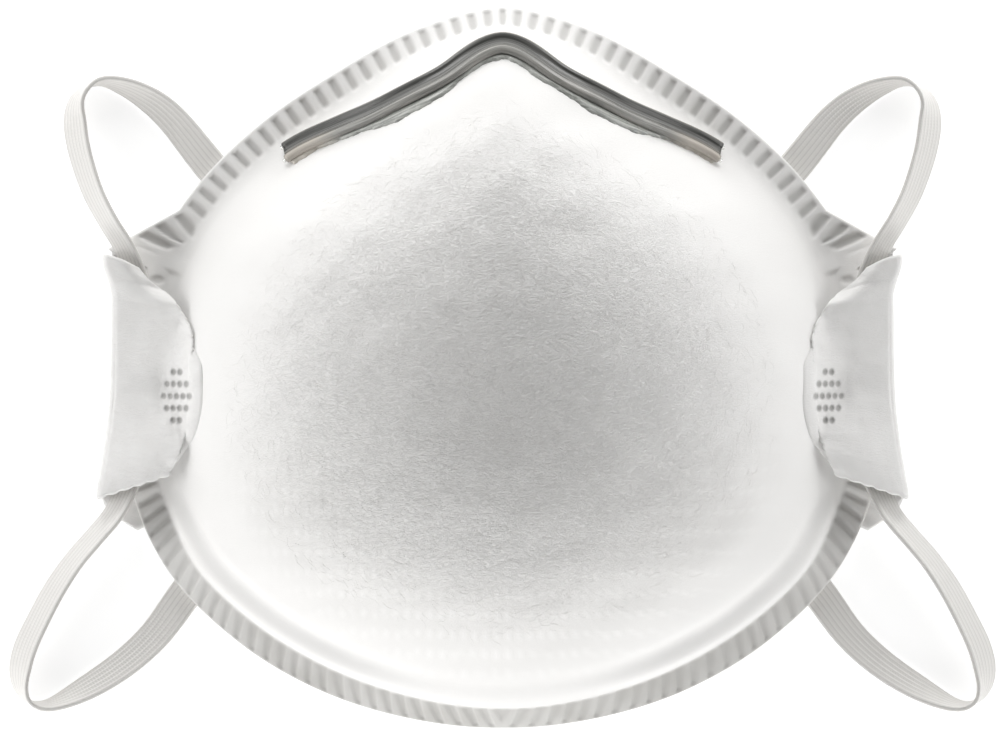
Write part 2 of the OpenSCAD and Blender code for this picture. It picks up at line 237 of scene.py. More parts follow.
def edge_r(a):
    """Radius of the felt's edge: the rim's, but straight out to each tab's upper corner."""
    way = CORNER_HIGH - CORNER_LOW
    up = np.clip(lift(a), 10, 40)
    cos, sin = np.cos(np.radians(up)), np.sin(np.radians(up))
    straight = (CORNER_LOW[0] * way[1] - CORNER_LOW[1] * way[0]) / (cos * way[1] - sin * way[0])
    reach = np.maximum(0, straight - rim_r(a)) * (up < 28)
    return rim_r(a) + reach * smooth((lift(a) - 15.7) / 1.1)


def edge_rise(y):
    up = NOSE_RISE * (np.maximum(0, y - FLAT_NOSE) / (RIM_RADII[-1] - FLAT_NOSE)) ** RISE_POWER
    down = CHIN_RISE * (np.maximum(0, -y - FLAT_CHIN) / (RIM_RADII[0] - FLAT_CHIN)) ** RISE_POWER
    return np.where(y > 0, up, down)


def flange_slope(a):
    up = 42 * smooth((lift(a) - 50) / 40)
    down = 26 * below(a, 20, 15) + 18 * below(a, 50, 40)
    return np.radians(np.where(lift(a) > 0, up, down))


def foot_r(a):
    return rim_r(a) - FLANGE_W * np.cos(flange_slope(a))


def rim_z(a):
    return FLANGE_T + edge_rise(rim_r(a) * np.sin(np.radians(a)))


def foot_z(a):
    return rim_z(a) + FLANGE_W * np.sin(flange_slope(a))


def foot_flare(a):
    return 0.1 + 0.4 * smooth(1 - np.abs(lift(a) - 45) / 35)


def outer_point(a, u):
    """Point on the cup at the angle a: u runs from 0 in front to 1 at the foot and 2 at the edge."""
    a, u = np.broadcast_arrays(np.asarray(a, float), np.asarray(u, float))
    cos, sin = np.cos(np.radians(a)), np.sin(np.radians(a))
    v = np.minimum(u, 1)
    cup_r = mix(FRONT_R, foot_r(a), smooth(v)) * v
    rise = (1 - v**FULLNESS) * (1 - foot_flare(a) * np.exp(-(1 - v) / 0.09))
    cup_z = CUP_H * rise + foot_z(a) * v**2
    f = np.clip(u - 1, 0, 1)
    r = np.where(u < 1, cup_r, mix(foot_r(a), edge_r(a), f))
    z = np.where(u < 1, cup_z, mix(foot_z(a), rim_z(a), f))
    return np.stack([r * cos, r * sin - FRONT_DROP * (1 - v), z], -1)


def outer_normal(a, u):
    delta = 0.01
    v = np.clip(u, delta, 2 - delta)
    along = outer_point(a + 1, v) - outer_point(a - 1, v)
    across = outer_point(a, v + delta) - outer_point(a, v - delta)
    return unit(np.cross(across, along))


def squeeze(u):
    """The welding squeezes the layers together in the flange."""
    return mix(1, FLANGE_T / CUP_T, smooth((u - 0.86) / 0.14))


def skin_point(a, u, depth):
    return outer_point(a, u) - (depth * squeeze(u))[..., None] * outer_normal(a, u)


# ---- materials ----
class Nodes:
    """Short ways to build one material's nodes."""

    def __init__(self, name, color, roughness, **sockets):
        self.material = bpy.data.materials.new(name)
        self.material.use_nodes = True
        self.tree = self.material.node_tree
        self.shader = self.tree.nodes["Principled BSDF"]
        self.shader.inputs["Base Color"].default_value = (*color, 1)
        self.shader.inputs["Roughness"].default_value = roughness
        for socket, value in sockets.items():
            self.shader.inputs[socket.replace("_", " ")].default_value = value

    def add(self, kind, **settings):
        node = self.tree.nodes.new(kind)
        for key, value in settings.items():
            setattr(node, key, value)
        return node

    def link(self, source, target):
        if isinstance(source, (int, float)):
            target.default_value = source
        else:
            self.tree.links.new(source, target)

    def place(self, scale=(1, 1, 1), turn=(0, 0, 0)):
        """The object's own coordinates in metres, turned and scaled."""
        mapping = self.add("ShaderNodeMapping")
        mapping.inputs["Scale"].default_value = scale
        mapping.inputs["Rotation"].default_value = turn
        self.link(self.add("ShaderNodeTexCoord").outputs["Object"], mapping.inputs["Vector"])
        return mapping.outputs["Vector"]

    def noise(self, at, scale, detail=3, roughness=0.5, distortion=0):
        node = self.add("ShaderNodeTexNoise")
        self.link(at, node.inputs["Vector"])
        node.inputs["Scale"].default_value = scale
        node.inputs["Detail"].default_value = detail
        node.inputs["Roughness"].default_value = roughness
        node.inputs["Distortion"].default_value = distortion
        return node.outputs["Fac"]

    def math(self, operation, a, b=0.0):
        node = self.add("ShaderNodeMath", operation=operation)
        for value, socket in zip((a, b), node.inputs):
            self.link(value, socket)
        return node.outputs[0]

    def times(self, a, b):
        return self.math("MULTIPLY", a, b)

    def plus(self, a, b):
        return self.math("ADD", a, b)

    def minus(self, a, b):
        return self.math("SUBTRACT", a, b)

    def ramp(self, value, low, high, to_low=0.0, to_high=1.0):
        node = self.add("ShaderNodeMapRange", interpolation_type="SMOOTHSTEP")
        for v, socket in zip((value, low, high, to_low, to_high), node.inputs):
            self.link(v, socket)
        return node.outputs[0]

    def value_of(self, name):
        return self.add("ShaderNodeAttribute", attribute_name=name).outputs["Fac"]

    def blend(self, factor, a, b):
        """A colour between a and b, each a colour or a socket."""
        node = self.add("ShaderNodeMix", data_type="RGBA")
        self.link(factor, node.inputs["Factor"])
        for color, socket in ((a, node.inputs[6]), (b, node.inputs[7])):
            if isinstance(color, tuple):
                socket.default_value = (*color, 1)
            else:
                self.link(color, socket)
        return node.outputs[2]

    def bump(self, height, distance, strength):
        node = self.add("ShaderNodeBump")
        node.inputs["Strength"].default_value = strength
        node.inputs["Distance"].default_value = distance
        self.link(height, node.inputs["Height"])
        self.link(node.outputs["Normal"], self.shader.inputs["Normal"])

    def color(self, socket):
        self.link(socket, self.shader.inputs["Base Color"])

    def streaks(self, along_scale, across_scale, distortion):
        """Noise drawn out along a piece, from its attributes along and across."""
        place = self.add("ShaderNodeCombineXYZ")
        self.link(self.times(self.value_of("along"), along_scale), place.inputs[0])
        self.link(self.times(self.value_of("across"), across_scale), place.inputs[1])
        return self.noise(place.outputs[0], 1, 3, 0.55, distortion)

    def hairs(self, turn, length, thickness, warp):
        """Thin curved lines in one main direction, from 0 between them to 1 on them."""
        flat = self.place((1 / length, 1 / thickness, 1 / length), (0, 0, math.radians(turn)))
        bend = self.noise(self.place(), warp, 2)
        shifted = self.add("ShaderNodeVectorMath", operation="MULTIPLY_ADD")
        self.link(bend, shifted.inputs[0])
        shifted.inputs[1].default_value = (2.0, 9.0, 2.0)
        self.link(flat, shifted.inputs[2])
        field = self.noise(shifted.outputs[0], 1, 2, 0.6)
        ridge = self.math("ABSOLUTE", self.minus(field, 0.5))
        return self.ramp(ridge, 0.0, 0.045, 1.0, 0.0)


def felt_material():
    """White needle felt with loose hairs and a net of dots low down. Its colour holds painted shade: grey in the
    weld's grooves, beige-grey on the lower flange, and a darker ground between the hairs on the front.
    """
    n = Nodes("needle_felt", (0.9, 0.893, 0.878), 0.95, Sheen_Weight=0.25, Sheen_Roughness=0.6)
    at = n.place()
    hairs = n.hairs(20, 3.2 * MM, 0.5 * MM, 160)
    for turn in (65, 118, 160):
        hairs = n.math("MAXIMUM", hairs, n.hairs(turn, 3.2 * MM, 0.5 * MM, 160 + turn))
    fuzz = n.noise(at, 1700, 4, 0.65, 0.6)
    cloud = n.noise(at, 320, 3, 0.55)
    loose = n.ramp(n.value_of("front"), 0.0, 1.0, 0.12, 1.0)
    height = n.plus(n.times(hairs, 0.8), n.times(fuzz, 0.6))
    height = n.plus(height, n.times(cloud, 0.3))
    height = n.times(height, loose)
    height = n.plus(height, n.times(n.value_of("net"), 0.5))
    n.bump(height, 0.11 * MM, 0.8)
    weld = n.value_of("weld")
    # Painted shade: the lower flange is painted beige-grey for the shade it lies in as it slopes away from the light,
    # and noise varies it a little
    foot = n.times(n.value_of("foot"), n.ramp(n.noise(at, 140, 2), 0.3, 0.7, 0.7, 0.95))
    tint = n.blend(foot, (0.92, 0.913, 0.9), (0.6, 0.59, 0.565))
    # Painted shade: the weld's grooves, and the level groove above each tab, are painted grey for the shade in these
    # recesses
    tint = n.blend(n.times(weld, 0.62), tint, (0.5, 0.493, 0.475))
    gaps = n.times(n.minus(n.value_of("ring"), n.value_of("net")), 0.24)
    tint = n.blend(gaps, tint, (0.7, 0.69, 0.67))
    # Painted shade: the ground between the hairs on the front is darkened in patches, so that the hairs stand out as
    # if lit
    between = n.times(n.minus(1.0, hairs), n.value_of("front"))
    shade = n.ramp(n.noise(at, 950, 2), 0.3, 0.7, 0.06, 0.3)
    n.color(n.blend(n.times(between, shade), tint, (0.74, 0.725, 0.7)))
    return n.material


def hair_material():
    n = Nodes("felt_hair", (0.95, 0.945, 0.935), 0.6, Sheen_Weight=0.3, Sheen_Roughness=0.4)
    n.color(n.blend(n.noise(n.place(), 500, 2), (0.88, 0.87, 0.85), (0.97, 0.965, 0.955)))
    return n.material


def web_material(name, color, grain=1200, depth=0.1 * MM, pitch=0.0):
    """A soft nonwoven, with a small net of bonded points if pitch is given."""
    n = Nodes(name, color, 0.9, Sheen_Weight=0.2, Sheen_Roughness=0.5)
    at = n.place()
    height = n.noise(at, grain, 4, 0.6, 0.4)
    if pitch:
        height = n.times(height, 0.4)
        split = n.add("ShaderNodeSeparateXYZ")
        n.link(at, split.inputs[0])
        waves = [
            n.math("SINE", n.times(n.math(sign, split.outputs[0], split.outputs[1]), math.pi / pitch))
            for sign in ("ADD", "SUBTRACT")
        ]
        points = n.ramp(n.times(waves[0], waves[1]), 0.5, 0.85)
        height = n.minus(height, n.times(points, 0.8))
    n.bump(height, depth, 0.7)
    shade = tuple(c * 0.88 for c in color)
    n.color(n.blend(n.noise(at, 300, 2), shade, color))
    return n.material


def tab_material():
    """The flange's felt, pressed smoother where the tab is folded, with grey weld dots and a painted shadow beside
    them.
    """
    n = Nodes("pressed_felt", (0.9, 0.893, 0.88), 0.9, Sheen_Weight=0.2, Sheen_Roughness=0.5)
    at = n.place()
    grain = n.noise(n.place((1, 3, 1)), 900, 4, 0.6, 0.5)
    hairs = n.math("MAXIMUM", n.hairs(8, 2.5 * MM, 0.4 * MM, 210), n.hairs(150, 2.5 * MM, 0.4 * MM, 170))
    height = n.plus(n.times(grain, 0.6), n.times(hairs, 0.3))
    n.bump(height, 0.14 * MM, 0.6)
    # The weld attribute holds the weld dots and, beside them, a painted shadow on the fold side
    dent = n.times(n.value_of("weld"), 0.85)
    plain = n.blend(n.noise(at, 260, 2), (0.86, 0.852, 0.838), (0.93, 0.925, 0.915))
    n.color(n.blend(dent, plain, (0.36, 0.355, 0.345)))
    return n.material


def strap_material():
    """Flat woven elastic: rubber ribs along it, fine stitches across it, painted shade in the grooves between the
    ribs and darker along both edges.
    """
    n = Nodes("elastic_knit", (0.87, 0.855, 0.83), 0.72, Sheen_Weight=0.35, Sheen_Roughness=0.4)
    along, across = n.value_of("along"), n.value_of("across")
    ribs = n.math("COSINE", n.times(across, 2 * math.pi * 7))
    stitch_phase = n.plus(n.times(along, 2 * math.pi / (0.55 * MM)), n.times(ribs, 0.9))
    stitch = n.math("SINE", stitch_phase)
    yarn = n.noise(n.place(), 4200, 3, 0.6)
    height = n.plus(n.times(stitch, 0.16), n.times(yarn, 0.5))
    n.bump(height, 0.05 * MM, 0.8)
    # Painted shade: the grooves between the ribs are painted darker
    painted_rib_groove_shade = n.ramp(ribs, -1.0, -0.35, 0.45, 0.0)
    # Darker along both edges of the strap
    darker_edge_band = n.ramp(n.math("ABSOLUTE", n.minus(across, 0.5)), 0.45, 0.49, 0.0, 0.7)
    n.color(n.blend(n.math("MAXIMUM", painted_rib_groove_shade, darker_edge_band), (0.86, 0.845, 0.82), (0.62, 0.607, 0.585)))
    return n.material


def clip_material():
    """Grey polyethylene of the nose clip, glossy, with faint drawing lines along it, its upper bead painted darker as
    a reflection of the dark overhead, paler below, and a painted highlight along its top edge.
    """
    n = Nodes("clip_plastic", (0.12, 0.12, 0.115), 0.28, Specular_IOR_Level=0.5, Coat_Weight=0.25, Coat_Roughness=0.1)
    drawn = n.streaks(90, 6, 0.2)
    n.link(n.ramp(drawn, 0.3, 0.8, 0.2, 0.42), n.shader.inputs["Roughness"])
    n.bump(drawn, 0.05 * MM, 0.4)
    # Painted reflection: the strip's grey is painted darker on the upper bead, for the dark overhead that it reflects
    upper = n.ramp(n.value_of("across"), -0.75, 0.1)
    grey_with_painted_dark_reflection = n.blend(n.ramp(drawn, 0.35, 0.7), (0.075, 0.076, 0.072), (0.14, 0.14, 0.132))
    pale = n.blend(n.ramp(drawn, 0.35, 0.7), (0.24, 0.24, 0.225), (0.4, 0.39, 0.365))
    beige = n.blend(n.value_of("end"), pale, (0.5, 0.46, 0.41))
    # Painted highlight: a pale line along the upper bead's top edge
    lit_edge = n.ramp(n.value_of("across"), 0.73, 0.79, 0.0, 0.85)
    n.color(n.blend(lit_edge, n.blend(upper, beige, grey_with_painted_dark_reflection), (0.56, 0.53, 0.48)))
    return n.material


def wire_material():
    n = Nodes("clip_wire", (0.72, 0.72, 0.7), 0.22, Metallic=1.0)
    scratches = n.noise(n.place(), 2600, 3)
    n.link(n.ramp(scratches, 0.3, 0.7, 0.15, 0.35), n.shader.inputs["Roughness"])
    n.color(n.blend(scratches, (0.6, 0.6, 0.58), (0.82, 0.82, 0.8)))
    return n.material


def glue_material():
    """Clear hot melt over felt: grey-green, shiny and drawn out along the clip, buff at its ends."""
    n = Nodes("hot_melt", (0.4, 0.41, 0.38), 0.3, Coat_Weight=0.4, Coat_Roughness=0.15)
    drawn = n.streaks(160, 2600, 0.3)
    lumps = n.noise(n.place(), 900, 4, 0.6, 0.8)
    n.bump(n.plus(drawn, n.times(lumps, 0.5)), 0.16 * MM, 0.7)
    n.link(n.ramp(lumps, 0.3, 0.7, 0.2, 0.5), n.shader.inputs["Roughness"])
    grey = n.blend(n.ramp(drawn, 0.36, 0.64), (0.3, 0.31, 0.29), (0.56, 0.57, 0.54))
    n.color(n.blend(n.value_of("end"), grey, (0.62, 0.58, 0.52)))
    return n.material


def foam_material():
    """Dark grey open-cell foam."""
    n = Nodes("nose_foam", (0.14, 0.14, 0.15), 0.95)
    cells = n.add("ShaderNodeTexVoronoi", feature="F1")
    n.link(n.place(), cells.inputs["Vector"])
    cells.inputs["Scale"].default_value = 1500
    pores = n.ramp(cells.outputs["Distance"], 0.1, 0.7)
    n.bump(pores, 0.3 * MM, 0.9)
    n.color(n.blend(pores, (0.07, 0.07, 0.075), (0.22, 0.22, 0.23)))
    return n.material


def tape_material():
    n = Nodes("tape_film", (0.78, 0.74, 0.62), 0.35)
    wrinkle = n.noise(n.place(), 500, 3)
    n.bump(wrinkle, 0.08 * MM, 0.4)
    n.color(n.blend(wrinkle, (0.72, 0.68, 0.56), (0.84, 0.8, 0.7)))
    return n.material


def floor_material():
    """A plain pale floor, lit from inside a little, as a light table is."""
    n = Nodes("pale_floor", (0.5, 0.5, 0.5), 0.9)
    n.shader.inputs["Emission Color"].default_value = (1, 1, 1, 1)
    n.shader.inputs["Emission Strength"].default_value = 0.72
    return n.material


# ---- camera ----
def make_camera():
    """Straight above the mask, far away, as wide as the object's own length and a little more."""
    view_w = 175.4 * MM
    aside, towards_chin, height = -0.44 * MM, -1.4 * MM, 1.1
    data = bpy.data.cameras.new("camera")
    data.sensor_width = 36
    data.lens = data.sensor_width * height / view_w
    data.clip_start, data.clip_end = 0.05, 30
    camera = bpy.data.objects.new("camera", data)
    bpy.context.scene.collection.objects.link(camera)
    camera.location = (aside, towards_chin, height)
    bpy.context.scene.camera = camera


# ---- strap ----
def strap_middle(path):
    """The strap's middle line, lifted so that its lower edge or face lies at the route's height."""
    roll = np.radians(path[:, 2])
    height = path[:, 3] + STRAP_GAP + STRAP_W / 2 * np.sin(roll) + STRAP_T / 2 * np.abs(np.cos(roll))
    return np.stack([path[:, 0], path[:, 1], height], -1)


def strap_frames():
    """Middle, width direction and face direction along the whole closed strap."""
    step, fine = 0.9 * MM, 24
    left = np.array(STRAP_ROUTE, float)
    right = left[-2:0:-1] * (-1, 1, 1, 1)
    tunnel = min(range(len(left)), key=lambda i: abs(left[i, 2]) + abs(left[i, 1] + 0.002))
    loop = np.concatenate([left, right])
    # The loop starts in the left tunnel and runs up past the nose first
    loop = np.roll(loop, -tunnel, axis=0)[::-1]
    loop = np.roll(loop, 1, axis=0)
    closed = np.concatenate([loop[-1:], loop, loop[:2]])
    dense = strap_middle(curve_at(closed, 1 + np.arange(len(loop) * fine + 1) / fine))
    travelled = along_lengths(dense)
    count = int(travelled[-1] / step)
    at = np.interp(np.arange(count) * travelled[-1] / count, travelled, np.arange(len(dense)))
    path = curve_at(closed, 1 + at / fine)
    roll = np.radians(path[:, 2])
    middle = strap_middle(path)
    # Back to the part's own direction, so that the faces turn as the solid's do
    along = unit(np.roll(middle, 1, 0) - np.roll(middle, -1, 0))
    level = unit(np.cross([0, 0, 1], along))
    up = np.cross(along, level)
    wide = np.cos(roll)[:, None] * level + np.sin(roll)[:, None] * up
    return middle, wide, np.cross(along, wide)


def make_strap():
    """The flat elastic as one closed loop, with seven soft ribs on both faces."""
    middle, wide, face = strap_frames()
    ribs, per_face, rib_h = 7, 43, 0.065 * MM
    across = np.linspace(-0.5, 0.5, per_face)
    rib = np.abs(np.cos(math.pi * ribs * across + math.pi * (ribs + 1) / 2)) ** 0.6
    edge = np.sqrt(np.clip(1 - np.clip((np.abs(across) - 0.44) / 0.06, 0, 1) ** 2, 0, 1))
    half = (STRAP_T / 2 - rib_h * (1 - rib)) * np.maximum(edge, 0.05)
    section_w = np.concatenate([across, across[-2:0:-1]]) * STRAP_W
    section_t = np.concatenate([half, -half[-2:0:-1]])
    points = middle[:, None] + wide[:, None] * section_w[:, None] + face[:, None] * section_t[:, None]
    count, columns = points.shape[:2]
    quads = np.array(grid_faces(count + 1, columns, True)) % (count * columns)
    strap = new_piece("elastic_strap_knit", points, quads.tolist(), strap_material(), "strap")
    travelled = along_lengths(middle)
    attribute(strap, "along", np.repeat(travelled, columns))
    attribute(strap, "across", np.tile(section_w / STRAP_W + 0.5, count))
    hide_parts("elastic_strap")


make_camera()
make_strap()


# ---- cup ----
FRONT_COLUMNS = 300
EDGE_COLUMNS = 5 * FRONT_COLUMNS
SEAM_U = 0.94
WELD_PITCH = 3 * MM
WELD_DEPTH = 0.45 * MM


def rim_travel():
    """Distance along the edge from the nose, at each quarter degree from -90 to 270 degrees, and its slant."""
    angles = np.arange(-90, 270.01, 0.25)
    # Over the tabs' corners the grooves turn less than the edge does
    radii = (edge_r(angles) + rim_r(angles)) / 2
    spread = np.arange(-20, 21)
    radii = np.mean([np.roll(radii[:-1], k) for k in spread], axis=0)
    radii = np.append(radii, radii[0])
    edge = polar(radii, angles, 0)
    travelled = along_lengths(edge)
    return angles, travelled - np.interp(90, angles, travelled), np.gradient(radii, travelled)


RIM_ANGLES, RIM_TRAVEL, RIM_SLANT = rim_travel()


def weld_groove(a, u):
    """1 in the weld's grooves across the flange and 0 on the ribs between them."""
    a = (np.asarray(a, float) + 90) % 360 - 90
    inward = (2 - u) * (FLANGE_W + edge_r(a) - rim_r(a))
    travel = np.interp(a, RIM_ANGLES, RIM_TRAVEL) - inward * np.interp(a, RIM_ANGLES, RIM_SLANT)
    # Mirrored about the nose, with a groove on the middle line
    low = below(a, 15, 10)
    # Below, the grooves lean and their spacing wanders a little
    x = np.abs(travel) + low * (0.4 * inward + 0.3 * MM * np.sin(travel / (2.9 * MM)))
    x = (x / WELD_PITCH + 0.5) % 1 - 0.5
    # They run longer in the corners over the tabs, where the edge is cut straight
    corner = smooth((edge_r(a) - rim_r(a)) / (2.5 * MM))
    start, stop = mix(0.5, 0.15, low) * MM, mix(4.9, 5.4, low) * MM * (1 + 0.5 * corner)
    # Each groove is widest in its middle, or below at its inner end, with one crisp side and one that fades
    share = np.clip((inward - start) / (stop - start), 0, 1)
    bulge = mix(mix(0.7, 1.1, np.sin(math.pi * share) ** 0.7), mix(0.65, 1.3, share), low)
    sharp, soft = 0.26 * bulge, mix(0.5, 0.46, low) * bulge
    across = smooth(1.25 + 1.25 * x / soft) * smooth(1.6 - 1.6 * x / sharp)
    ends = smooth((inward - start) / (0.6 * MM)) * smooth((stop - inward) / (0.9 * MM))
    above_tab, below_tab = np.abs(np.interp((18.2, -14), RIM_ANGLES, RIM_TRAVEL))
    clear = np.maximum(smooth((above_tab - np.abs(travel)) / MM), smooth((np.abs(travel) - below_tab) / MM))
    # One level groove stands alone above each tab
    r = mix(foot_r(a), edge_r(a), np.clip(u - 1, 0, 1))
    beside, above = np.abs(r * np.cos(np.radians(a))) - 60.5 * MM, r * np.sin(np.radians(a)) - 15.4 * MM
    level = 0.6 * smooth(1.6 - np.hypot(beside / 1.5, above) / (0.65 * MM))
    return np.maximum(across * ends * clear, level) * (u > 1)


def foot_relief(a, u):
    """How far the felt stands out inside the foot of the lower half: a soft roll, then a gutter."""
    inside = np.linalg.norm(outer_point(a, np.minimum(u, 1)) - outer_point(a, 1.0), axis=-1)
    low = below(a, 17, 9) * (1 - 0.75 * below(a, 58, 22))
    roll = 0.75 * MM * bell(inside - 2.6 * MM, 2.0 * MM) * np.minimum(1, inside / (1.2 * MM))
    gutter = -0.55 * MM * bell(inside - 6.6 * MM, 1.9 * MM)
    return low * (roll + gutter)


def softened_point(a, u):
    """The CAD surface with its foot rounded off: fully above the tabs, a little below them."""
    wall_way = 57 * MM
    past = np.where(u < 1, (u - 1) * wall_way, (u - 1) * FLANGE_W)
    reach = mix(0.2, 1.25, smooth((lift(a) - 2) / 12)) * MM
    spread = reach * np.clip(1.3 - np.abs(past) / (2 * reach), 0, 1)
    total = 0
    for share in (-1, -0.6, -0.2, 0.2, 0.6, 1):
        at = past + spread * share
        total = total + outer_point(a, 1 + np.where(at < 0, at / wall_way, at / FLANGE_W))
    return np.where((spread > 0)[..., None], total / 6, outer_point(a, u))


def felt_point(a, u, depth):
    """Point on the detailed cup: the CAD surface with the felt's own relief, less a depth."""
    groove_depth = WELD_DEPTH * mix(1, 0.7, below(a, 15, 10))
    out = foot_relief(a, u) - groove_depth * weld_groove(a, u) * (depth == 0)
    base = softened_point(a, u)
    front = smooth((1.05 - u) / 0.3)
    out = out + front * 0.12 * MM * unevenness(base, 11 * MM, 3)
    return base + (out - depth)[..., None] * outer_normal(a, u)


def layer_depth(u, depth):
    """Depth of a layer's face, squeezed in the flange, where it lies under the welded grooves."""
    pressed = mix(0.62 * MM, FLANGE_T, depth / CUP_T)
    return mix(depth, pressed, smooth((u - 0.86) / 0.14))


def cup_ring_grid(us, columns, depths):
    """Rows of points round the cup at each u, each at its own depth."""
    angles = np.arange(columns) * 360 / columns
    a, u = np.meshgrid(angles, us)
    return felt_point(a, u, np.broadcast_to(np.asarray(depths, float)[:, None], a.shape))


def front_rings(count):
    """Values of u from just beside the front's middle to the seam with the finer edge."""
    return SEAM_U * np.arange(1, count + 1) / count


def make_outer_cover():
    """The felt cover as one closed skin: front, ribbed flange, rounded edge, and back underneath."""
    top_u = front_rings(84)
    top = cup_ring_grid(top_u, FRONT_COLUMNS, np.zeros(len(top_u)))
    apex = outer_point(0.0, 0.0)
    back_u = top_u[::-4]
    back = cup_ring_grid(back_u, FRONT_COLUMNS, layer_depth(back_u, COVER_T))
    # Rows of the edge: across the flange, round its rim and back inside it
    corner = 0.35 * MM
    last_u = 2 - corner / FLANGE_W
    foot_u = np.linspace(SEAM_U, 1, 9)[1:]
    flange_u = 1 + (last_u - 1) * np.linspace(0, 1, 17)[1:]
    edge_u = np.concatenate([foot_u, flange_u])
    edge_depth = np.zeros(len(edge_u))
    turn = np.radians([30, 60, 90])
    out_x = np.concatenate([np.sin(turn) - 1, np.cos(turn) - 1]) * corner
    out_d = np.concatenate([1 - np.cos(turn), FLANGE_T / corner - 1 + np.sin(turn)]) * corner
    edge_u = np.concatenate([edge_u, 2 + out_x / FLANGE_W, [1.76, 1.75]])
    edge_depth = np.concatenate([edge_depth, out_d, [FLANGE_T, 0.62 * MM]])
    inner_u = np.array([1.5, 1.2, 1.03, 0.99])
    edge_u = np.concatenate([edge_u, inner_u])
    edge_depth = np.concatenate([edge_depth, layer_depth(inner_u, COVER_T)])
    edge = cup_ring_grid(edge_u, EDGE_COLUMNS, edge_depth)

    points = joined(apex, apex - (0, 0, COVER_T), top, edge, back)
    top_at = 2
    edge_at = top_at + top.shape[0] * FRONT_COLUMNS
    back_at = edge_at + edge.shape[0] * EDGE_COLUMNS
    last_back = back_at + (back.shape[0] - 1) * FRONT_COLUMNS
    faces = fan(0, top_at, FRONT_COLUMNS) + grid_faces(top.shape[0], FRONT_COLUMNS, True, top_at)
    faces += grid_faces(edge.shape[0], EDGE_COLUMNS, True, edge_at)
    faces += grid_faces(back.shape[0], FRONT_COLUMNS, True, back_at)
    faces += fan(1, last_back, FRONT_COLUMNS, flip=True)
    # Between the coarser front and the finer edge each step takes five fine ones
    fine = EDGE_COLUMNS // FRONT_COLUMNS
    last_top = edge_at - FRONT_COLUMNS
    last_edge = back_at - EDGE_COLUMNS
    for j in range(FRONT_COLUMNS):
        fine_row = [(fine * j + k) % EDGE_COLUMNS for k in range(fine + 1)]
        faces.append([last_top + j] + [edge_at + k for k in fine_row] + [last_top + (j + 1) % FRONT_COLUMNS])
        faces.append([back_at + (j + 1) % FRONT_COLUMNS] + [last_edge + k for k in fine_row[::-1]] + [back_at + j])
    cover = new_piece("outer_cover_felt", points, faces, felt_material())

    angles = np.concatenate([[0, 0]] + [np.tile(np.arange(n) * 360 / n, rows) for n, rows in (
        (FRONT_COLUMNS, top.shape[0]), (EDGE_COLUMNS, edge.shape[0]), (FRONT_COLUMNS, back.shape[0]))])
    us = np.concatenate([[0, 0], np.repeat(top_u, FRONT_COLUMNS), np.repeat(edge_u, EDGE_COLUMNS),
                         np.repeat(back_u, FRONT_COLUMNS)])
    on_face = np.concatenate([[1, 0], np.ones(top.size // 3), np.repeat(edge_depth == 0, EDGE_COLUMNS),
                              np.zeros(back.size // 3)])
    # The weld attribute sets where the grooves' painted shade goes, weaker on the lower half
    attribute(cover, "weld", weld_groove(angles, us) * on_face * mix(1, 0.45, below(angles, 8, 8)))
    attribute(cover, "front", smooth((0.88 - us) / 0.5))
    # foot sets where the lower flange's painted shade goes
    attribute(cover, "foot", smooth((us - 1.0) / 0.1) * below(angles, 14, 45) ** 0.6)
    dots, ring = dot_net(points)
    attribute(cover, "net", dots * on_face)
    attribute(cover, "ring", ring * on_face)
    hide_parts("outer_cover")


def make_fuzz():
    """Loose hairs of the felt, lying in all directions on the front of the cup."""
    random = np.random.default_rng(4)
    count, stations, sides, radius = 4200, 8, 3, 0.015 * MM
    wall_way, mean_r = 75 * MM, 60 * MM
    t = np.linspace(0, 1, stations)
    u0 = 0.76 * np.sqrt(random.random(count))
    a0 = 360 * random.random(count)
    length = MM * random.uniform(1.2, 3.6, count)
    way = 2 * math.pi * random.random(count)
    bend = random.normal(0, 1.1, count)
    step = length / (stations - 1)
    turn = way[:, None] + bend[:, None] * t + 0.5 * np.sin(6 * t + way[:, None])
    u = u0[:, None] + np.cumsum(np.sin(turn) * step[:, None], 1) / wall_way
    around = np.cumsum(np.cos(turn) * step[:, None], 1) / (mean_r * np.maximum(u0, 0.05)[:, None])
    a, u = a0[:, None] + np.degrees(around), np.clip(np.abs(u), 0.02, 0.93)
    raised = (0.02 + 0.12 * random.random(count)[:, None] ** 2 * np.sin(math.pi * t)) * MM
    middle = felt_point(a, u, -raised)
    along = unit(np.gradient(middle, axis=1))
    up = outer_normal(a, u)
    side = np.cross(along, up)
    taper = radius * (0.35 + 0.65 * np.sin(math.pi * np.clip(t, 0.06, 0.94)))[:, None]
    corner = 2 * math.pi * np.arange(sides) / sides
    rings = [middle + taper * (math.cos(c) * side + math.sin(c) * up) for c in corner]
    points = np.stack(rings, 2).reshape(-1, 3)
    one = np.array(grid_faces(stations, sides, True))
    starts = np.arange(count)[:, None, None] * stations * sides
    faces = (one[None] + starts).reshape(-1, 4).tolist()
    for end in (range(sides - 1, -1, -1), range((stations - 1) * sides, stations * sides)):
        faces += (np.array(list(end))[None] + starts[:, 0]).tolist()
    fuzz = new_piece("outer_cover_fuzz", points, faces, hair_material())


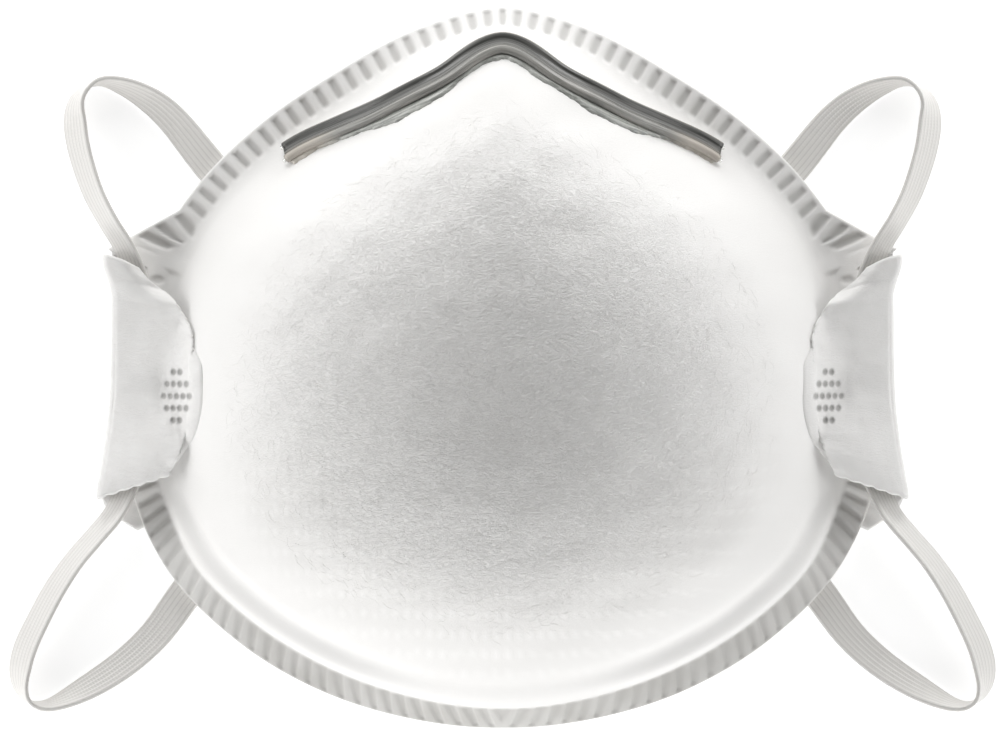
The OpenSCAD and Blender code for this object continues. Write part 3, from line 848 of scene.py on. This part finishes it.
def dot_net(points):
    """Faint raised dots of the shell's net under the felt, and where in the cup's lower part they show."""
    x, y = points[:, 0], points[:, 1]
    row_h, column_w = 1.75 * MM, 1.9 * MM
    dots = np.sin(math.pi * (x / column_w + 0.5 * y / row_h)) * np.sin(math.pi * (x / column_w - 0.5 * y / row_h))
    radius = np.hypot(x, y + 6 * MM)
    ring = smooth((radius - 26 * MM) / (9 * MM)) * smooth((52 * MM - radius) / (9 * MM))
    ring = ring * smooth((-y - 8 * MM) / (14 * MM))
    return smooth(np.clip(dots, 0, 1)) * ring, ring


def make_cup_layer(name, node, material, top, bottom, columns, rows):
    """One of the cup's inner layers, ending inside the cover's turned edge."""
    us = np.concatenate([np.linspace(0, 0.9, rows + 1)[1:], [0.93, 0.96, 0.98, 1, 1.03, 1.3, 1.6, 1.74]])
    upper = cup_ring_grid(us, columns, layer_depth(us, top))
    lower = cup_ring_grid(us[::-1], columns, layer_depth(us[::-1], bottom))
    apex = outer_point(0.0, 0.0)
    points = joined(apex - (0, 0, top), apex - (0, 0, bottom), upper, lower)
    last = 2 + (2 * len(us) - 1) * columns
    faces = fan(0, 2, columns) + grid_faces(2 * len(us), columns, True, 2) + fan(1, last, columns, flip=True)
    layer = new_piece(name, points, faces, material)
    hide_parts(node)


def make_cup():
    make_outer_cover()
    make_fuzz()
    filter_end = COVER_T + FILTER_T
    shell_end = filter_end + SHELL_T
    make_cup_layer("filter_media_web", "filter_media",
                   web_material("filter_web", (0.9, 0.9, 0.89)), COVER_T, filter_end, 240, 40)
    make_cup_layer("support_shell_net", "support_shell",
                   web_material("moulded_shell", (0.86, 0.86, 0.85), 800, 0.3 * MM, 1.8 * MM),
                   filter_end, shell_end, 240, 40)
    make_cup_layer("inner_lining_web", "inner_lining",
                   web_material("soft_lining", (0.9, 0.895, 0.88), 1500, 0.12 * MM, 1.1 * MM),
                   shell_end, CUP_T, 360, 60)


make_cup()


# ---- side tabs, drawn for the right side and mirrored ----
def fold_r(a):
    return curve_at(FOLD_RADII, (a - TAB_START) / TAB_STEP)


def flap_r(a):
    return curve_at(FLAP_RADII, (a - TAB_START) / TAB_STEP)


def flap_section(a):
    """Radius and height of the folded sheet's middle at the angle a, from under the fold to the free edge."""
    # Its upper end stands wider and higher, clear of the strap
    upper = smooth((a - 10) / 4)
    f, e = float(fold_r(a)) + 1.4 * MM * upper, float(flap_r(a)) - 0.7 * MM
    openness = ((a + 1.5) / 16) ** 2
    low, high = TAB_T / 2, FLANGE_T + TUNNEL_H + FUNNEL_H * openness + TAB_T / 2 + 1.4 * MM * upper
    turn = np.radians(np.linspace(-90, 90, 24))
    inward = 1.2 * MM
    fold = np.stack([f - inward + 0.75 * MM * np.cos(turn), mix(low, high, (1 + np.sin(turn)) / 2)], -1)
    # The cup's wall under the sheet, as height over radius
    wall_u = np.linspace(0.75, 2, 160)
    wall = felt_point(a, wall_u, -mix(0.22 * MM, TAB_T / 2, smooth((wall_u - 0.9) / 0.08)))
    wall_r = np.hypot(wall[:, 0], wall[:, 1])
    order = np.argsort(wall_r)
    r = np.linspace(f - inward, e, 90)
    wall_z = np.interp(r, wall_r[order], wall[order, 2])
    # The sheet is taut from the fold to where it is welded, sags before the weld and stands open above
    end_r = max(57.4 * MM, e)
    end_z = np.interp(end_r, wall_r[order], wall[order, 2]) + 1.35 * FUNNEL_H * openness + 0.8 * MM * upper
    share = np.clip((f - inward - r) / (f - inward - end_r), 0, 1)
    y = r * math.sin(math.radians(a))
    taut = mix(high, end_z, share) + mix(0.35, 1, upper) * MM * np.sin(math.pi * share)
    taut -= MM * bell(y + 4.4 * MM, 5 * MM) * smooth(share / 0.6) * smooth((1.05 - share) / 0.3)
    taut += 0.28 * MM * bell(y + 6.3 * MM, 1.3 * MM) * np.sin(math.pi * share)
    gap = taut - wall_z
    z = wall_z + (gap + np.sqrt(gap**2 + (1.6 * MM) ** 2)) / 2
    return np.concatenate([[[f - 2.4 * MM, low]], fold, np.stack([r, z], -1)[1:]])


FLAP_ROWS = 96
WELD_DOTS = [(-0.7, 2), (-2.8, 4), (-4.9, 5), (-7.0, 4), (-9.1, 2)]
DOT_X = 56.6 * MM
DOT_PITCH = 1.16 * MM


def weld_dots(points):
    """1 in the middle of each of the flap's weld dots."""
    deep = np.zeros(points.shape[:-1])
    for y, count in WELD_DOTS:
        for k in range(count):
            x = DOT_X + (k - (count - 1) / 2) * DOT_PITCH
            away = np.hypot((points[..., 0] - x) / 0.8, points[..., 1] - y * MM)
            deep = np.maximum(deep, smooth(1.55 - away / (0.55 * MM)))
    return deep


def thin_sheet(centre, thickness):
    """Points and faces of a closed sheet round a grid of middle points, rounded along its edges."""
    rows, columns = centre.shape[:2]
    normal = unit(np.cross(np.gradient(centre, axis=0), np.gradient(centre, axis=1)))
    away = np.minimum(from_ends(centre, 0), from_ends(centre, 1))
    radius = np.broadcast_to(thickness, (rows, columns)) / 2
    half = radius * np.sqrt(np.clip(1 - (1 - np.clip(away / radius, 0.02, 1)) ** 2, 0, 1))
    top = centre + half[..., None] * normal
    bottom = centre - half[..., None] * normal
    return joined(top, bottom), sheet_faces(rows, columns)


def flap_grid(seed):
    """Middle of the folded flap: rows across the fold, columns from the chin side to the nose side."""
    columns, rows = 170, FLAP_ROWS
    share = np.linspace(0, 1, rows)
    grid = np.zeros((rows, columns, 3))
    for j, v in enumerate(np.linspace(0, 1, columns)):
        a = mix(TAB_START + 0.2, 14.9, v)
        line = flap_section(a)
        travelled = along_lengths(line)
        # The free edge has small nibs, and the lower edge scallops
        nib = 0.16 * MM * math.sin(2 * math.pi * v * 36) + 0.1 * MM * math.sin(2 * math.pi * v * 23 + seed)
        r, z = (np.interp(share * (travelled[-1] + nib), travelled, line[:, k]) for k in (0, 1))
        scallop = 0.22 * np.abs(np.sin(share * 26 + seed)) * max(0, 1 - v / 0.1)
        # The fold's upper corner stands past the rest of the upper edge
        corner = 1.1 * smooth((v - 0.8) / 0.2) * smooth((r - 62 * MM) / (8 * MM))
        grid[:, j] = polar(r, a - scallop + corner, z)
    on_flap = smooth((share - 0.3) / 0.25)[:, None]
    free = smooth((share - 0.8) / 0.15)[:, None]
    soft = unevenness(grid, 13 * MM, seed) * 0.16 * MM + unevenness(grid, 5 * MM, seed + 1) * 0.05 * MM
    puckers = 0.14 * MM * np.sin(grid[..., 1] * 2 * math.pi / (3.1 * MM) + seed) * free
    grid[..., 2] += on_flap * (soft + puckers * (1 - bell(grid[..., 1] + 4.6 * MM, 7 * MM)))
    return grid


def lip_grid():
    """Middle of the lower ply that shows past the flap's free edge, hugging the wall."""
    columns, rows = 90, 10
    angles = np.linspace(-16.5, 6.5, columns)
    ends = smooth((angles + 16.5) / 5) * smooth((6.5 - angles) / 6)
    grid = np.zeros((rows, columns, 3))
    for i, share in enumerate(np.linspace(0, 1, rows)):
        reach = mix(0, -2.4, share) * MM * np.maximum(ends, 0.02)
        r = flap_r(angles) + reach
        u = np.minimum(0.97, r / foot_r(angles))
        ridge = 0.3 * MM * math.sin(math.pi * share) * ends
        grid[i] = felt_point(angles, u, -(mix(0.3, -0.2, share) * MM + ridge))
    return grid


def wing_grid():
    """Middle of the flat wing under the fold: it starts inside the flange's edge and runs out to the fold."""
    columns, rows = 120, 14
    outline = np.array([[-24.5, 69.6], [-22.1, 71.8], [-19.8, 73.7], [-18, 73.9]] +
                       [[a, float(fold_r(a)) / MM - 0.8] for a in range(-15, 16, 3)] +
                       [[16.7, 71.6], [19.1, 68.6], [21.9, 65.7], [24.5, 64]])
    angles = np.linspace(-24, 23.5, columns)
    outer = np.interp(angles, outline[:, 0], outline[:, 1]) * MM
    inner = rim_r(angles) - 1.6 * MM
    outer = np.maximum(outer, inner + 0.8 * MM)
    grid = np.zeros((rows, columns, 3))
    for i, share in enumerate(np.linspace(0, 1, rows)):
        grid[i] = polar(mix(inner, outer, share), angles, TAB_T / 2)
    return grid


def make_tab(name, node, side, seed, material):
    """A side tab: the flat wing, the folded flap welded to the cup and the ply under its edge."""
    # The flap is pressed thin where it is welded
    thickness = mix(TAB_T, 0.42 * MM, smooth((np.linspace(0, 1, FLAP_ROWS) - 0.72) / 0.2))[:, None]
    parts = [thin_sheet(flap_grid(seed), thickness), thin_sheet(lip_grid(), 0.5 * MM),
             thin_sheet(wing_grid(), TAB_T)]
    points, faces, dots_and_painted_shadow = [], [], []
    for part, (p, f) in enumerate(parts):
        start = sum(len(q) for q in points)
        faces += [[k + start for k in face] for face in f]
        dent = weld_dots(p) * (p[:, 2] > 3 * MM) if part < 2 else np.zeros(len(p))
        p = p - np.array([0, 0, 0.35 * MM]) * dent[:, None]
        points.append(p)
        # Painted shadow: a soft grey patch on the fold side of the weld dots, where the flap dips towards them
        painted_shadow_beside_dots = 0.4 * bell(p[:, 0] - 59.4 * MM, 2.4 * MM) * bell(p[:, 1] + 3.6 * MM, 3 * MM) * (part == 0)
        dots_and_painted_shadow.append(np.maximum(dent, painted_shadow_beside_dots))
    points = np.concatenate(points) * (side, 1, 1)
    if side < 0:
        faces = [face[::-1] for face in faces]
    tab = new_piece(name, points, faces, material)
    attribute(tab, "weld", np.concatenate(dots_and_painted_shadow))
    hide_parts(node)


def make_tabs():
    material = tab_material()
    make_tab("right_tab_fold", "right_tab", 1, 5, material)
    make_tab("left_tab_fold", "left_tab", -1, 8, material)


make_tabs()


# ---- nose clip ----
def clip_place(t):
    """Angle round the cup and place on its wall at the share t of the clip."""
    return 90 + CLIP_SPREAD * (1 - 2 * t), curve_at(CLIP_PLACES, t * (len(CLIP_PLACES) - 1))


def clip_frames(count):
    """Point on the cup, along, across and outward directions at stations along the clip."""
    t = np.linspace(0, 1, count)
    delta = 0.01
    none = np.zeros(count)
    p = skin_point(*clip_place(t), none)
    along = unit(skin_point(*clip_place(t + delta), none) - skin_point(*clip_place(t - delta), none))
    face = outer_normal(*clip_place(t))
    out = unit(face - (face * along).sum(-1, keepdims=True) * along)
    return p, along, np.cross(out, along), out


def swept(section, frames, ends):
    """Points of the section carried along the frames. Each end is (move, shrink) past the last frame."""
    p, along, across, out = frames
    rows = [at + section[:, :1] * aside + section[:, 1:] * up for at, aside, up in zip(p, across, out)]
    centre = section.mean(0)
    for move, shrink in ends:
        small = centre + (section - centre) * shrink
        first = p[0] - move * along[0] + small[:, :1] * across[0] + small[:, 1:] * out[0]
        last = p[-1] + move * along[-1] + small[:, :1] * across[-1] + small[:, 1:] * out[-1]
        rows = [first] + rows + [last]
    return np.array(rows)


def closed_sweep(rows):
    """Faces of a swept ring grid with both its ends closed."""
    count, n = rows.shape[:2]
    return grid_faces(count, n, True) + [list(range(n))] + [list(range(count * n - 1, (count - 1) * n - 1, -1))]


def circle(middle, radius):
    count = 20
    turn = 2 * math.pi * np.arange(count) / count
    return np.stack([middle[0] + radius * np.cos(turn), middle[1] + radius * np.sin(turn)], -1)


def strip_section():
    """Outline of the strip: two round beads and the web between them, in [across, outward]."""
    mid = GLUE_T + BEAD_R
    points = []
    for side in (-1, 1):
        for turn in np.radians(np.linspace(-157, 157, 23)):
            points.append([side * WIRE_OFFSET + side * BEAD_R * math.cos(turn), mid + side * BEAD_R * math.sin(turn)])
    return np.array(points)


def make_nose_clip():
    frames = clip_frames(160)
    section = strip_section()
    rows = swept(section, frames, [(0, 1), (0.12 * MM, 0.96)])
    strip = new_piece("nose_clip_strip_beads", rows, closed_sweep(rows), clip_material())
    attribute(strip, "across", np.tile(section[:, 0] / (WIRE_OFFSET + BEAD_R), len(rows)))
    travelled = along_lengths(rows.mean(1))
    attribute(strip, "along", np.repeat(travelled, len(section)))
    from_end = np.minimum(travelled, travelled[-1] - travelled)
    attribute(strip, "end", np.repeat(1 - smooth((from_end - 6 * MM) / (7 * MM)), len(section)))
    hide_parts("nose_clip_strip")
    wire = wire_material()
    for side, name in ((1, "nose_wire_upper"), (-1, "nose_wire_lower")):
        ring = circle((side * WIRE_OFFSET, GLUE_T + BEAD_R), WIRE_R)
        tips = [(WIRE_END - 0.15 * MM, 1), (WIRE_END - 0.04 * MM, 0.8), (WIRE_END, 0.4)]
        rows = swept(ring, frames, tips)
        piece = new_piece(name + "_steel", rows, closed_sweep(rows), wire)
        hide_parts(name)


def make_clip_glue():
    """Hot melt under the strip, squeezed out raggedly along its lower edge."""
    count, columns = 260, 22
    p, _, across, out = clip_frames(count)
    t = np.linspace(-1, 1, count)
    random = np.random.default_rng(11)
    ragged = np.zeros(count)
    for period in (0.5, 0.23, 0.11, 0.05, 0.026):
        ragged += 0.5 * period**0.6 * np.sin(2 * math.pi * (t / period + random.random()))
    bulge = smooth(1 - np.abs(np.abs(t) - 0.5) / 0.42)
    reach = np.clip(0.5 + 1.5 * bulge + 0.9 * ragged, 0.25, 2.6) * MM
    edge = WIRE_OFFSET + BEAD_R
    angles, places = clip_place(np.linspace(0, 1, count))
    aside = outer_point(angles + 0.5, places) - outer_point(angles - 0.5, places)
    down = (outer_point(angles, places + 0.01) - outer_point(angles, places - 0.01)) / 0.02
    turn = (across * aside).sum(-1) / (aside * aside).sum(-1)
    drop = (across * down).sum(-1) / (down * down).sum(-1)
    top, bottom, reaches = [], [], []
    for share in np.linspace(0, 1, columns):
        s = mix(-(edge + reach), edge + 0.25 * MM, share)
        beyond = np.clip((-edge - s) / reach, 0, 1)
        thick = 0.55 * MM * np.sqrt(np.clip(1 - beyond**3, 0, 1)) + 0.03 * MM
        at = angles + s * turn, places + s * drop
        on_felt = felt_point(*at, -thick)
        under = p + s[:, None] * across + (GLUE_T + 0.05 * MM) * out
        hidden = smooth((s + edge) / (0.6 * MM))[:, None]
        top.append(mix(on_felt, under, hidden))
        bottom.append(felt_point(*at, np.full(count, 0.15 * MM)))
        reaches.append(s)
    rows = np.array(top + bottom[::-1]).transpose(1, 0, 2)
    glue = new_piece("nose_clip_hot_melt", rows, closed_sweep(rows), glue_material())
    attribute(glue, "across", np.array(reaches + reaches[::-1]).T)
    attribute(glue, "along", np.repeat(along_lengths(p), 2 * columns))
    attribute(glue, "end", np.repeat(smooth((np.abs(t) - 0.72) / 0.15), 2 * columns))
    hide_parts("nose_clip_adhesive")


make_nose_clip()
make_clip_glue()


# ---- nose foam, inside the cup ----
FOAM_ANGLES = (45, 135)
FOAM_U = (0.6, 0.94)
TAPE_T = 0.2 * MM
FOAM_T = 4 * MM


def inner_patch(columns, rows, inset, top, bottom):
    """Two faces of a patch under the lining. bottom gives its depth from the distance to its edge and its place."""
    a, u = np.meshgrid(np.linspace(FOAM_ANGLES[1] - inset, FOAM_ANGLES[0] + inset, columns),
                       np.linspace(FOAM_U[0] + inset / 200, FOAM_U[1] - inset / 200, rows))
    base = CUP_T * squeeze(u)
    normal = outer_normal(a, u)
    middle = outer_point(a, u) - base[..., None] * normal
    edge = np.minimum(from_ends(middle, 1), from_ends(middle, 0))
    return middle - top * normal, middle - bottom(edge, middle)[..., None] * normal


def patch_piece(name, upper, lower, material):
    """A closed piece from the two faces of a patch."""
    return new_piece(name, joined(upper, lower), sheet_faces(*upper.shape[:2], flip=True), material)


def make_nose_foam():
    def film(edge, at):
        return np.full(edge.shape, TAPE_T)

    def crowned(edge, at):
        round_edge = np.sqrt(np.clip(1 - (1 - np.clip(edge / (2.2 * MM), 0, 1)) ** 2, 0, 1))
        crown = 0.82 + 0.18 * smooth(edge / (9 * MM))
        return TAPE_T + FOAM_T * (0.08 + 0.92 * round_edge) * crown + 0.1 * MM * unevenness(at, 6 * MM, 21)

    upper, lower = inner_patch(90, 24, 0, -0.02 * MM, film)
    tape = patch_piece("nose_foam_tape_film", upper, lower, tape_material())
    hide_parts("nose_foam_tape")
    upper, lower = inner_patch(150, 60, 0.8, TAPE_T, crowned)
    foam = patch_piece("nose_foam_pad", upper, lower, foam_material())
    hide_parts("nose_foam")


make_nose_foam()


# ---- floor and light ----
def make_floor():
    half = 12.0
    mesh = bpy.data.meshes.new("floor")
    z = -0.2 * MM
    mesh.from_pydata([(-half, -half, z), (half, -half, z), (half, half, z), (-half, half, z)], [], [(0, 1, 2, 3)])
    mesh.materials.append(floor_material())
    floor = bpy.data.objects.new("floor", mesh)
    bpy.context.scene.collection.objects.link(floor)


def make_softbox(name, place, power):
    """A square area light that faces the mask and isn't seen itself."""
    data = bpy.data.lights.new(name, "AREA")
    data.size = 110 * MM
    data.energy = power
    light = bpy.data.objects.new(name, data)
    light.visible_camera = False
    bpy.context.scene.collection.objects.link(light)
    light.location = place
    aim = np.array([0, 0, 0.02]) - np.array(place)
    flat = math.hypot(aim[0], aim[1])
    light.rotation_euler = (math.atan2(flat, -aim[2]), 0, math.atan2(-aim[0], aim[1]))


def make_world():
    """White round the horizon and darker overhead, as in a tent of low softboxes."""
    world = bpy.data.worlds.new("tent")
    bpy.context.scene.world = world
    world.use_nodes = True
    tree = world.node_tree
    coordinates = tree.nodes.new("ShaderNodeTexCoord")
    dark_way = tree.nodes.new("ShaderNodeVectorMath")
    dark_way.operation = "DOT_PRODUCT"
    ramp = tree.nodes.new("ShaderNodeMapRange")
    ramp.interpolation_type = "SMOOTHSTEP"
    tree.links.new(coordinates.outputs["Generated"], dark_way.inputs[0])
    dark_way.inputs[1].default_value = (0.12, -0.02, 0.993)
    tree.links.new(dark_way.outputs["Value"], ramp.inputs["Value"])
    for socket, value in (("From Min", 0.05), ("From Max", 0.84), ("To Min", 1.1), ("To Max", 0.04)):
        ramp.inputs[socket].default_value = value
    background = tree.nodes["Background"]
    tree.links.new(ramp.outputs[0], background.inputs["Strength"])
    background.inputs["Color"].default_value = (1, 0.995, 0.985, 1)


def make_studio():
    make_floor()
    make_world()
    for name, place, power in (
        ("left", (-0.23, -0.01, 0.08), 0.09), ("right", (0.235, 0, 0.08), 0.075),
        ("chin_left", (-0.1, -0.2, 0.085), 0.135), ("chin_right", (0.11, -0.2, 0.085), 0.12),
        ("nose_left", (-0.1, 0.2, 0.1), 0.155), ("nose_right", (0.11, 0.2, 0.1), 0.185),
    ):
        make_softbox("softbox_" + name, place, power)
    bpy.context.scene.view_settings.view_transform = "Standard"


make_studio()
